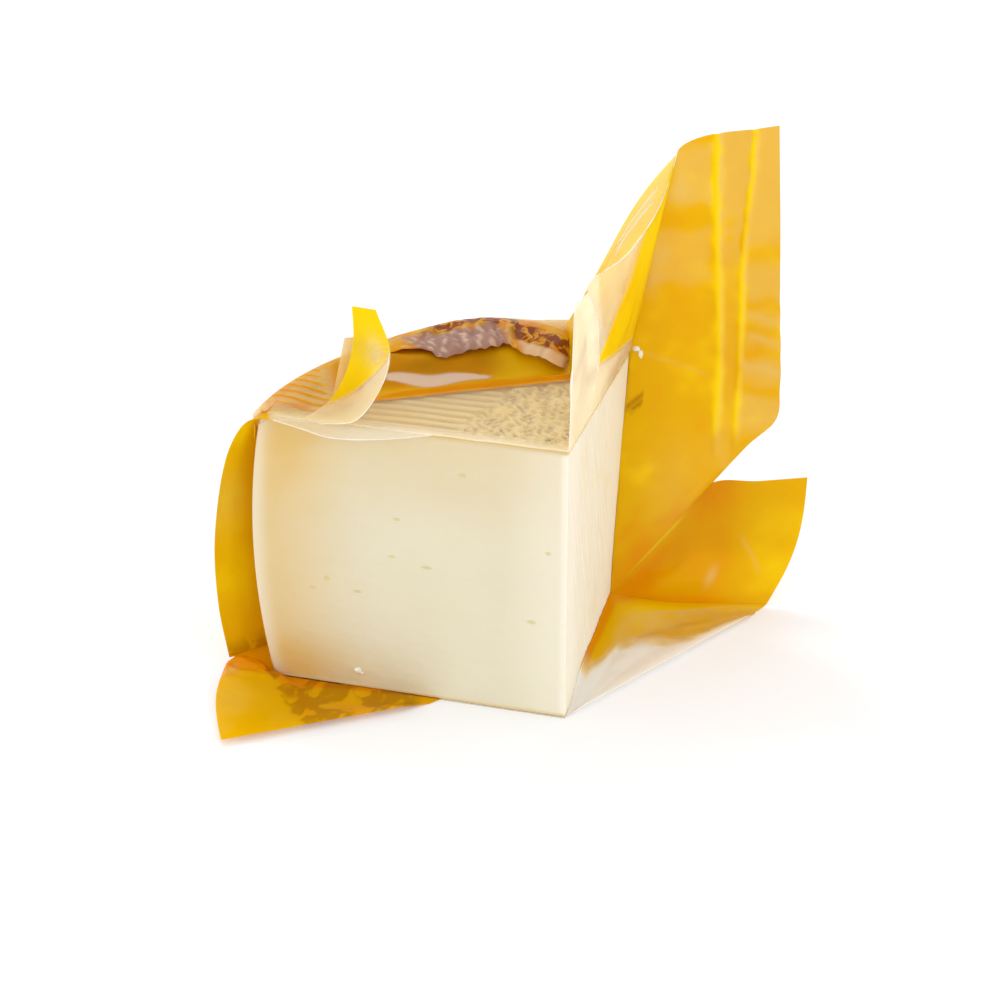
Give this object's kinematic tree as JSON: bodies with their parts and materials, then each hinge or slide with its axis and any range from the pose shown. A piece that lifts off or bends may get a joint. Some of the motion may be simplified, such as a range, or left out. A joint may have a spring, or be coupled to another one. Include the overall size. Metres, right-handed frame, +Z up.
{
  "type": "goat cheese wedge in an opened film pack",
  "caption": "Quarter wheel of pressed pale goat cheese in a torn-open yellow film pack, its film standing up at the right and folded over the top.",
  "frame": {"origin": "middle of the flat base, on the surface that the pack lies on", "axes": "+Z up; the front cut face looks towards -Y and the right cut face towards +X, so the wedge's tip is at the front right"},
  "size_m": [0.1331, 0.1124, 0.1318],
  "materials": {
    "cheese": "moist, smooth pressed cheese",
    "film": "glossy printed film, clear towards the tip"
  },
  "bodies": {
    "root": {"cheese": "cheese", "film": "film"}
  },
  "joints": []
}
